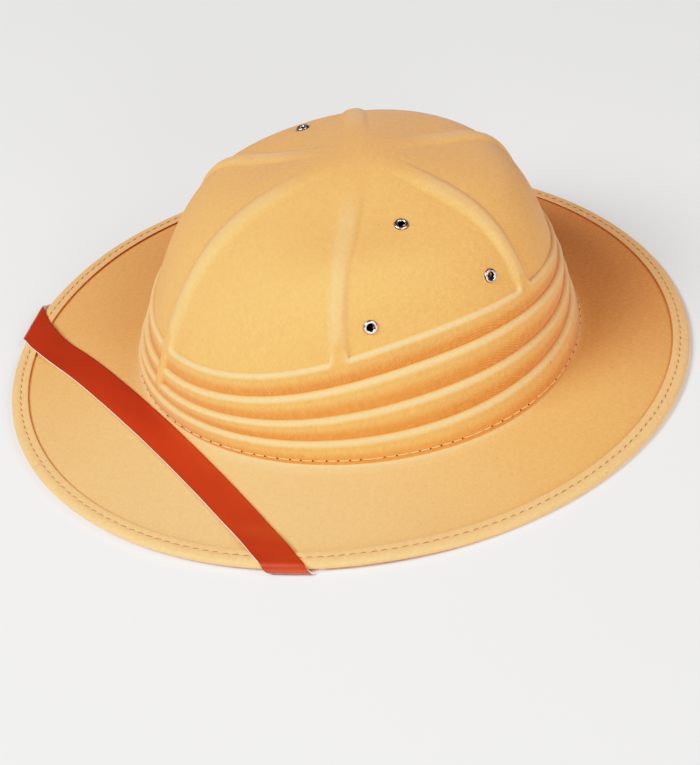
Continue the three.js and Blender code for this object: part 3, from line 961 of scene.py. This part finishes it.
def tape_section(azimuth, along):
    """Inset, height and side of the section's points, for all azimuths at once."""
    lift = front_lift(azimuth)
    middle = HEIGHT["rim"][0] + lift
    flat, radius, width = TAPE["thickness"], TAPE["roundness"], TAPE["width"]
    dip = 0.65 + 0.35 * np.cos(2 * np.pi * along / SEAM["pitch"])
    end = tape_top(width, azimuth)
    rows = [(width - 0.12, end - 0.42), (width, end - 0.18), (width - 0.25, end)]
    for inset in (7.0, 6.2, 5.6, 5.2, 4.85, 4.5, 4.15, 3.8, 3.3, 2.7):
        swell = 0.16 * math.sin(math.pi * (width - inset) / width)
        rows.append((inset, tape_top(inset, azimuth) - groove(inset) * dip + swell))
    top = tape_top(radius, azimuth)
    for angle in np.radians([75, 55, 35, 15, -5, -25, -45, -65, -85]):
        half = (top - lift) / 2
        rows.append((radius - radius * math.cos(angle), lift + half + half * math.sin(angle)))
    for inset in (2.7, 3.9, 4.5, 5.1, 6.3, 7.6):
        rows.append((inset, lift + groove(inset) * dip))
    rows += [(width, lift + 0.25), (width - 0.1, lift + flat - 0.05)]
    rows += [(flat, lift + flat), (flat, middle + radius - flat), (width - 1.2, end - flat)]
    return rows


def add_tape(material):
    azimuth, along = rim_azimuths(TAPE_STEP)
    rings, cloth = [], []
    for number, (inset, height) in enumerate(tape_section(azimuth, along)):
        ring = on_line("rim", azimuth, -inset)
        ring[..., 2] = height
        rings.append(ring)
        cloth.append(np.stack([along, 0 * along + number * 0.7, 0 * along], axis=-1))
    faces = grid_faces(len(rings), len(azimuth), looped=True)
    points = np.concatenate(rings)
    attributes = {"cloth": np.concatenate(cloth), "painted_light_tone": np.zeros(len(points))}
    return make_piece("edge_tape", points, faces, [material], attributes)


TAPE_CLOTH = {
    "name": "binding_tape",
    "thread": 0.6,
    "mid": linear(238, 174, 114),
    "pale": linear(244, 190, 137),
    "painted_shade": linear(214, 137, 72),
    "warp_light": linear(246, 188, 134),
    "speck": linear(150, 104, 60),
}
tape = add_tape(cloth_finish(TAPE_CLOTH, turn=math.radians(38)))

# %% [markdown]
# ## Stitches
#
# A stitch is a short piece of thread that comes out of one needle hole and goes into the next. Each is a
# small tube of its own: its middle stands clear of the cloth and its ends dive into it. All the stitches
# of one seam are one mesh, built in one go from arrays. No two are quite alike, so each gets a little
# turn and length of its own from a random generator with a fixed seed.

# %% Short tubes from arrays


def tubes(name, paths, radius, sides, material, taper=0.55):
    """One mesh of many short tubes. paths has a row of points for each tube."""
    tangent = unit(np.gradient(paths, axis=1))
    side = unit(np.cross(tangent, (0, 0, 1)))
    over = np.cross(side, tangent)
    angles = np.linspace(0, 2 * np.pi, sides, endpoint=False)
    steps = paths.shape[1]
    thickness = radius * mix(taper, 1.0, np.sin(np.pi * (np.arange(steps) + 0.5) / steps))
    ring = np.cos(angles)[:, None, None, None] * side + np.sin(angles)[:, None, None, None] * over
    points = paths + ring * thickness[None, None, :, None]
    points = np.moveaxis(points, 0, 2)
    tube = list(grid_faces(steps, sides, looped=False)[:, ::-1])
    caps = [list(range(sides)), list(range(steps * sides - 1, (steps - 1) * sides - 1, -1))]
    faces = []
    for number in range(len(paths)):
        start = number * steps * sides
        faces += [[start + corner for corner in face] for face in tube + caps]
    number, step, turn = np.indices(points.shape[:3])
    cloth = np.stack([step * 0.6, turn * 0.2, number], axis=-1).reshape(-1, 3)
    return make_piece(name, points.reshape(-1, 3), faces, [material], {"cloth": cloth})


def thread_finish(name, colour, dark):
    """Twisted thread: slanting plies, a little sheen, and a slightly different shade in each stitch."""
    finish = Finish(name, {"Sheen Weight": 0.3, "Specular IOR Level": 0.35})
    cloth = attribute(finish, "cloth", 1)
    u, v, _ = parts(finish, cloth)
    slant = (u + v) * 9.0
    ply = slant.math("SINE") * 0.5 + 0.5
    own = noise(finish, cloth, 1.7)
    colour = blend_colour(finish, ply * 0.6 + own * 0.3, dark, colour)
    return finish.surface(
        Base_Color=colour,
        Roughness=0.6 + 0.2 * own,
        Normal=raised(finish, ply, 0.04 * MM),
    )


# %% The binding's seam
rng = np.random.default_rng(7)
STITCH_SHAPE = np.array([-0.34, 0.02, 0.13, 0.15, 0.13, 0.02, -0.34])


def seam_paths(upper):
    """A path of seven points for each stitch of the binding, on its upper or its under side."""
    azimuth, _ = rim_azimuths(SEAM["pitch"], start=0.5)
    spread = np.linspace(-1, 1, len(STITCH_SHAPE))
    half = rng.uniform(1.55, 1.95, len(azimuth))
    slant = rng.uniform(0.12, 0.38, len(azimuth))
    reach = reach_of("rim", azimuth)
    at = azimuth[:, None] + half[:, None] * spread / reach[:, None]
    inset = SEAM["inset"] + slant[:, None] * spread + rng.normal(0, 0.06, len(azimuth))[:, None]
    point = polar(reach_of("rim", at) - inset, at, 0.0)
    if upper:
        point[..., 2] = tape_top(inset, at) - SEAM["groove"] * 0.55 + STITCH_SHAPE + 0.16
    else:
        point[..., 2] = front_lift(at) + SEAM["groove"] * 0.75 - STITCH_SHAPE * 0.8
    return point


seam_thread = thread_finish("brown_thread", linear(188, 126, 72), linear(124, 78, 40))
seam_paths_both = np.concatenate([seam_paths(True), seam_paths(False)])
tape_seam = tubes("binding_seam", seam_paths_both, 0.18, 6, seam_thread)

# %% The seam round the crown's foot
FOOT_SEAM = {"above": 3.3, "pitch": 5.5, "reach": 103}


def foot_seam_place(azimuth):
    """Points on the lowest face, a fixed height above the crown's foot."""
    start, end = roll_end(len(PLEATS) - 1, azimuth), on_line("foot", azimuth)
    t = 1 - FOOT_SEAM["above"] / (start[..., 2] - end[..., 2])
    return face_point(len(PLEATS) - 1, t[..., None], azimuth)


def foot_seam_paths():
    count = round(2 * np.pi * FOOT_SEAM["reach"] / FOOT_SEAM["pitch"])
    middle = (np.arange(count) + rng.uniform(-0.1, 0.1, count)) * 2 * np.pi / count
    spread = np.linspace(-1, 1, len(STITCH_SHAPE))
    half = rng.uniform(2.2, 2.6, count)[:, None] / FOOT_SEAM["reach"]
    azimuth = middle[:, None] + half * spread
    point = foot_seam_place(azimuth)
    return point + polar(STITCH_SHAPE * 0.6 + 0.06, azimuth, 0.0), point[:, [0, -1]]


pale_thread = thread_finish("pale_thread", linear(250, 226, 178), linear(214, 170, 112))
foot_paths, hole_places = foot_seam_paths()
foot_seam = tubes("crown_seam", foot_paths, 0.2, 6, pale_thread)

# %% Needle holes of that seam


def add_needle_holes(places, material):
    """Painted shade where the needle went in: a flat dark drop at the end of some stitches."""
    keep = rng.random(len(places)) < 0.75
    centres = places[keep]
    out = unit(centres * (1, 1, 0))
    along = np.cross((0, 0, 1.0), out)
    steps = np.array([-0.36, -0.2, 0.0, 0.2, 0.36])[None, :, None]
    paths = centres[:, None] + steps * along[:, None] + 0.02 * out[:, None]
    return tubes("needle_hole_shade_drops", paths, 0.34, 8, material, taper=0.35)


def hole_painted_shade_finish():
    # painted shade: the drops are nearly black, for the shade inside the holes
    finish = Finish("needle_hole_painted_shade", {"Specular IOR Level": 0.1})
    spots = noise(finish, attribute(finish, "cloth", 1), 2.0)
    colour = blend_colour(finish, spots, linear(40, 24, 12), linear(78, 50, 28))
    return finish.surface(Base_Color=colour, Roughness=0.8 + 0.15 * spots)


needle_hole_shade_drops = add_needle_holes(hole_places[:, 1], hole_painted_shade_finish())

# %% [markdown]
# ## Nickel eyelets
#
# An eyelet is a short tube whose front end is rolled over into a ring and whose back end is spread
# behind the wall. It is turned on a lathe here: a closed outline of small arcs, spun about its axis. The
# frame's own eyelets have the right size but only fourteen flat sides, so these stand in for them.

# %% Lathe-turned rings
RING = {"hole": 1.65, "tube": 2.05, "outer": 3.3, "crown": 0.95, "back": -3.35, "sides": 64}


def arc(centre, radii, start, end, count):
    angles = np.radians(np.linspace(start, end, count))
    return [(centre[0] + radii[0] * math.cos(a), centre[1] + radii[1] * math.sin(a)) for a in angles]


def ring_outline():
    """Radius and height of the eyelet's outline, from its back round the bore to the front ring."""
    hole, tube, outer, crown, back = (RING[key] for key in ("hole", "tube", "outer", "crown", "back"))
    middle = (hole + outer) / 2
    outline = arc((tube + 0.25, back + 0.35), (tube + 0.25 - hole, 0.35), 270, 180, 5)
    outline += [(hole, back + 1.2), (hole, -0.6)]
    outline += arc((middle, 0.1), (middle - hole, crown - 0.1), 180, 0, 17)
    outline += arc((outer - 0.28, 0.02), (0.28, 0.26), 0, -90, 4)
    outline += [(tube + 0.15, -0.26), (tube, -0.5), (tube, back + 0.75)]
    outline += arc((tube + 0.55, back + 0.40), (0.35, 0.30), 150, -90, 6)
    return np.array(outline)


def add_eyelet(name, centre, normal, material):
    outline = ring_outline()
    angles = np.linspace(0, 2 * np.pi, RING["sides"], endpoint=False)
    axis = Vector(normal)
    first = axis.orthogonal().normalized()
    second = np.array(axis.cross(first))
    first = np.array(first)
    spokes = np.cos(angles)[:, None] * first + np.sin(angles)[:, None] * second
    seat = np.array(centre) - 0.22 * np.array(normal)
    rings = [seat + radius * spokes + height * np.array(normal) for radius, height in outline]
    faces = grid_faces(len(rings), len(angles), looped=True)[:, ::-1]
    # painted shade and painted dark reflection: the bore, the ring's inner lip and its foot are painted
    # dark
    painted_ring_shade = np.repeat(1 - soft_step(0.15, 0.6, outline[:, 1]), len(angles))
    attributes = {"painted_ring_shade": painted_ring_shade}
    return make_piece(f"eyelet_ring_{name}", np.concatenate(rings), faces, [material], attributes)


def nickel_finish():
    """Bright nickel plate: light scratches, a few dull spots and a trace of yellow where it is worn, and
    painted shade and a painted dark reflection in the bore and at the ring's foot.
    """
    finish = Finish("bright_nickel", {"Metallic": 1.0})
    place = finish.node("ShaderNodeNewGeometry", {}, {}, 0)
    dull = noise(finish, place, 900.0, 3.0)
    scratch = noise(finish, stretched(finish, place, (9000, 1200, 2500)), 1.0, 2.0)
    worn = between(finish, noise(finish, place, 500.0, 2.0), 0.55, 0.72)
    colour = blend_colour(finish, worn, linear(196, 193, 194), linear(172, 158, 142))
    # painted shade and painted dark reflection below the rolled ring
    painted_ring_shade = attribute(finish, "painted_ring_shade", 2) * (0.8 + 0.2 * dull)
    colour = blend_colour(finish, painted_ring_shade, colour, linear(58, 44, 38))
    return finish.surface(
        Base_Color=colour,
        Roughness=0.16 + 0.18 * dull + 0.12 * worn,
        Normal=raised(finish, scratch, 0.01 * MM),
    )


nickel = nickel_finish()
eyelets = {name: add_eyelet(name, *axis, nickel) for name, axis in AXES.items()}

# %% [markdown]
# ## The chin strap
#
# The strap is a flat band that has been laid over the brim and folded under the rim at both ends. A
# band like that can't be stretched, so it is drawn flat first, as a gentle curve, and then bent: where
# the flat drawing crosses a fold line it is rolled round a half cylinder and carries on underneath.
# That keeps its true length and width. Under the hat it goes to the inside of the crown at each side,
# where its ends stand up against the wall.

# %% The strap's flat route
STRAP = {"width": 15.6, "thickness": 1.0, "clearance": 0.45, "behind": 1.1, "fold_clearance": 0.8}
SETTLES = {"width": 18, "rises_from": 9, "risen_at": 2}
FOLD_AZIMUTHS = {"left": 47.6, "right": -37.2}
STRAP_TOP = [(-90, -129.9), (-50, -124.2), (-8, -119.6), (40, -115.4), (90, -112.4)]
STRAP_HIDDEN = [(116, -84), (106, -50), (94, -22), (86.5, 2), (87, 23.5)]
STANDING = {"from": 46, "upright": 18}
RIM_MIDDLE = HEIGHT["rim"][0] + FRONT_LIFT["height"]
FOLD_RADIUS = HEIGHT["rim"][0] + STRAP["clearance"] + STRAP["thickness"] / 2


def fold_line(azimuth):
    """A point on the fold and the way out of the hat across it."""
    at = np.radians(azimuth)
    edge, following = (on_line("rim", np.array(a))[:2] for a in (at, at + 0.001))
    along = unit(following - edge)
    out = np.array([along[1], -along[0]])
    out *= np.sign(out @ edge)
    return edge + out * (STRAP["fold_clearance"] - HEIGHT["rim"][0]), out


FOLDS = [fold_line(azimuth) for azimuth in FOLD_AZIMUTHS.values()]


def unfolded(point, fold):
    """Where a hidden point lies if the strap runs straight on instead of folding."""
    place, out = fold
    beyond = (np.array(point) - place) @ out
    return np.array(point) + out * (math.pi * FOLD_RADIUS - 2 * beyond)


def smooth_route(knots, steps):
    """Evenly spaced points of a centripetal curve through the knots."""
    knots = np.array([2 * knots[0] - knots[1], *knots, 2 * knots[-1] - knots[-2]])
    times = np.concatenate([[0], np.cumsum(np.linalg.norm(np.diff(knots, axis=0), axis=1) ** 0.5)])
    route = []

    def blended(t, ends, first, last):
        return mix(*ends, (t - times[first]) / (times[last] - times[first]))

    for i in range(1, len(knots) - 2):
        t = np.linspace(times[i], times[i + 1], 200, endpoint=False)[:, None]
        a = [blended(t, knots[k : k + 2], k, k + 1) for k in (i - 1, i, i + 1)]
        b = [blended(t, a[k : k + 2], i - 1 + k, i + 1 + k) for k in (0, 1)]
        route.append(blended(t, b, i, i + 1))
    route = np.concatenate(route + [knots[-2:-1]])
    lengths = lengths_along(route)
    wanted = np.linspace(0, lengths[-1], steps)
    return np.stack([np.interp(wanted, lengths, route[:, k]) for k in (0, 1)], axis=-1), lengths[-1]


def strap_route(steps):
    left, right = FOLDS
    knots = [unfolded((-x, y), right) for x, y in STRAP_HIDDEN[::-1]]
    knots += [np.array(point, float) for point in STRAP_TOP]
    knots += [unfolded(point, left) for point in STRAP_HIDDEN]
    return smooth_route(knots, steps)


STRAP_ROUTE, STRAP_LENGTH = strap_route(620)
print("strap length, mm:", round(STRAP_LENGTH, 1))

# %% Bend the strap over the rim


def height_over_brim(x, y, beyond):
    azimuth = np.arctan2(x, -y)
    top = brim_point(brim_share(azimuth, np.hypot(x, y)), azimuth)[..., 2]
    on_binding = TAPE["thickness"] + GAP + STRAP["clearance"] + STRAP["thickness"] / 2
    settled = soft_step(TAPE["width"], TAPE["width"] + SETTLES["width"], -beyond)
    rise = mix(on_binding, STRAP["behind"], settled)
    near = 1 - soft_step(SETTLES["risen_at"], SETTLES["rises_from"], -beyond)
    return mix(top + rise, RIM_MIDDLE + FOLD_RADIUS, near)


def bend(flat):
    """Points of the flat drawing carried over the rim."""
    beyond = [(flat - place) @ out for place, out in FOLDS]
    x, y = flat[..., 0], flat[..., 1]
    bent = np.stack([x, y, height_over_brim(x, y, np.maximum(*beyond))], axis=-1)
    for (_, out), past in zip(FOLDS, beyond):
        turn = np.clip(past / FOLD_RADIUS, 0, math.pi)
        back = np.clip(past - math.pi * FOLD_RADIUS, 0, None)
        move = FOLD_RADIUS * np.sin(turn) - past - back
        height = RIM_MIDDLE + FOLD_RADIUS * np.cos(turn)
        under = np.stack([x + out[0] * move, y + out[1] * move, height], axis=-1)
        bent = np.where((past > 0)[..., None], under, bent)
    return bent


def strap_surface(across):
    """The strap's middle surface: rows along it, columns at these distances from its middle."""
    way = unit(np.gradient(STRAP_ROUTE, axis=0))
    side = np.stack([-way[:, 1], way[:, 0]], axis=-1)
    surface = bend(STRAP_ROUTE[:, None] + side[:, None] * across[None, :, None])
    middle = bend(STRAP_ROUTE[:, None])
    place = np.linspace(0, STRAP_LENGTH, len(STRAP_ROUTE))
    to_end = np.minimum(place, STRAP_LENGTH - place)
    tilt = (math.pi / 2) * (1 - soft_step(STANDING["upright"], STANDING["from"], to_end))[:, None]
    away = surface - middle
    inwards = np.sign(-middle[..., 0] * away[..., 0])
    stood = middle + away * np.cos(tilt)[..., None]
    stood[..., 2] += np.sin(tilt) * (STRAP["width"] / 2 + 0.3 + inwards * np.abs(across))
    return np.where((tilt > 0)[..., None], stood, surface)


# %% The strap's body
EDGE_ROUNDING = 0.22


def add_strap(coat, core):
    """A coated band: glossy above, with the pale core showing along its cut edges and below."""
    half, edge = STRAP["width"] / 2, EDGE_ROUNDING
    across = np.concatenate([[-half, -half + edge], np.linspace(-half + 3 * edge, half - 3 * edge, 15),
                             [half - edge, half]])
    middle = strap_surface(across)
    normal = unit(np.cross(np.gradient(middle, axis=0), np.gradient(middle, axis=1)))
    top = STRAP["thickness"] / 2 - 0.12 * (np.abs(across) / half) ** 8
    rough = 0.05 * np.sin(np.arange(len(middle)) * 0.21)[:, None] * np.cos(across * 0.35)[None]
    upper = middle + normal * (top[None, :, None] + rough[..., None])
    low_edge = middle - normal * (STRAP["thickness"] / 2 - 0.08)
    section = np.concatenate([upper, low_edge[:, ::-1]], axis=1)
    rows, count = section.shape[:2]
    faces = grid_faces(rows, count, looped=False)[:, ::-1].tolist()
    faces.append(list(range(count)))
    faces.append(list(range(rows * count - 1, (rows - 1) * count - 1, -1)))
    width = np.concatenate([across, across[::-1]])
    length = np.linspace(0, STRAP_LENGTH, rows)
    cloth = np.stack(np.broadcast_arrays(length[:, None], width[None], 0.0), axis=-1)
    attributes = {"cloth": cloth.reshape(-1, 3)}
    piece = make_piece("strap_band", section.reshape(-1, 3), faces, [coat, core], attributes)
    for number, face in enumerate(piece.data.polygons):
        column = number % count
        face.material_index = 0 if number < (rows - 1) * count and column < len(across) - 1 else 1
    return piece


def strap_coat_finish():
    """Glossy red-brown coating: soft clouds of colour, fine pores, dull streaks along the band, and painted
    shade along both edges.
    """
    finish = Finish("glossy_red_brown", {"Specular IOR Level": 0.5, "Coat Roughness": 0.16})
    cloth = attribute(finish, "cloth", 1)
    _, v, _ = parts(finish, cloth)
    cloud = noise(finish, stretched(finish, cloth, (0.012, 0.05, 1)), 1.0, 3.0)
    pores = noise(finish, cloth, 3.4, 3.0, 0.65)
    streak = noise(finish, stretched(finish, cloth, (0.05, 1.4, 1)), 1.0, 3.0)
    # painted shade: the coat darkens towards both edges, next to the pale cut edge
    edge = between(finish, abs(v), 6.9, 8.0)
    colour = blend_colour(finish, cloud, linear(150, 46, 12), linear(196, 66, 22))
    colour = blend_colour(finish, edge * 0.55, colour, linear(104, 30, 10))
    colour = blend_colour(finish, between(finish, pores, 0.62, 0.8) * 0.2, colour, linear(220, 96, 40))
    return finish.surface(
        Base_Color=colour,
        Roughness=0.30 + 0.12 * streak + 0.08 * pores,
        Coat_Weight=0.35 + 0.1 * cloud,
        Normal=raised(finish, pores * 0.6 + streak * 0.4, 0.03 * MM),
    )


def strap_core_finish():
    """The pale backing cloth that shows along the cut edges."""
    finish = Finish("pale_backing", {"Sheen Weight": 0.2})
    cloth = attribute(finish, "cloth", 1)
    u, v, _ = parts(finish, cloth)
    knit = plain_weave(finish, u / 0.8, v / 0.8)
    fuzz = noise(finish, cloth, 2.2, 3.0)
    colour = blend_colour(finish, knit * 0.5 + fuzz * 0.4, linear(222, 196, 180), linear(250, 238, 228))
    return finish.surface(
        Base_Color=colour,
        Roughness=0.85 + 0.1 * fuzz,
        Normal=raised(finish, knit * 0.7 + fuzz * 0.3, 0.08 * MM),
    )


strap = add_strap(strap_coat_finish(), strap_core_finish())

# %% [markdown]
# ## Floor
#
# A plain pale sweep, with only a breath of variation so that it doesn't look like paper cut out by a
# computer. It is part of the studio and not of the hat.

# %% The pale floor


def add_floor():
    finish = Finish("pale_floor", {"Specular IOR Level": 0.2})
    place = finish.node("ShaderNodeNewGeometry", {}, {}, 0)
    cloud = noise(finish, place, 1.4, 2.0)
    colour = blend_colour(finish, cloud, linear(243, 242, 240), linear(248, 247, 246))
    material = finish.surface(Base_Color=colour, Roughness=0.75 + 0.15 * cloud)
    size = 6000
    corners = [(-size, -size, 0), (size, -size, 0), (size, size, 0), (-size, size, 0)]
    return make_piece("floor", corners, [[0, 1, 2, 3]], [material], shift=0)


add_floor()

# %% [markdown]
# ## Hand the pieces to the frame
#
# The hat has one body, so every piece rides on it. Each piece names the frame's node that it stands for,
# which is hidden, and a material slot, which nothing here uses; each keeps the finish it was made with.

# %% Bodies, nodes and slots
BODY = next(iter(frame["bodies"]))
PIECES = [
    (shell, "helmet_shell", "canvas"),
    (tape, "brim_binding", "binding"),
    (strap, "chin_strap", "strap"),
    (tape_seam, None, "binding"),
    (foot_seam, None, "canvas"),
    (needle_hole_shade_drops, None, "canvas"),
]
PIECES += [(piece, f"eyelet_{name}", "nickel") for name, piece in eyelets.items()]
for piece, node, slot in PIECES:
    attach(piece, BODY)
    if node:
        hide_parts(node)
print(len(PIECES), "pieces on body", BODY)
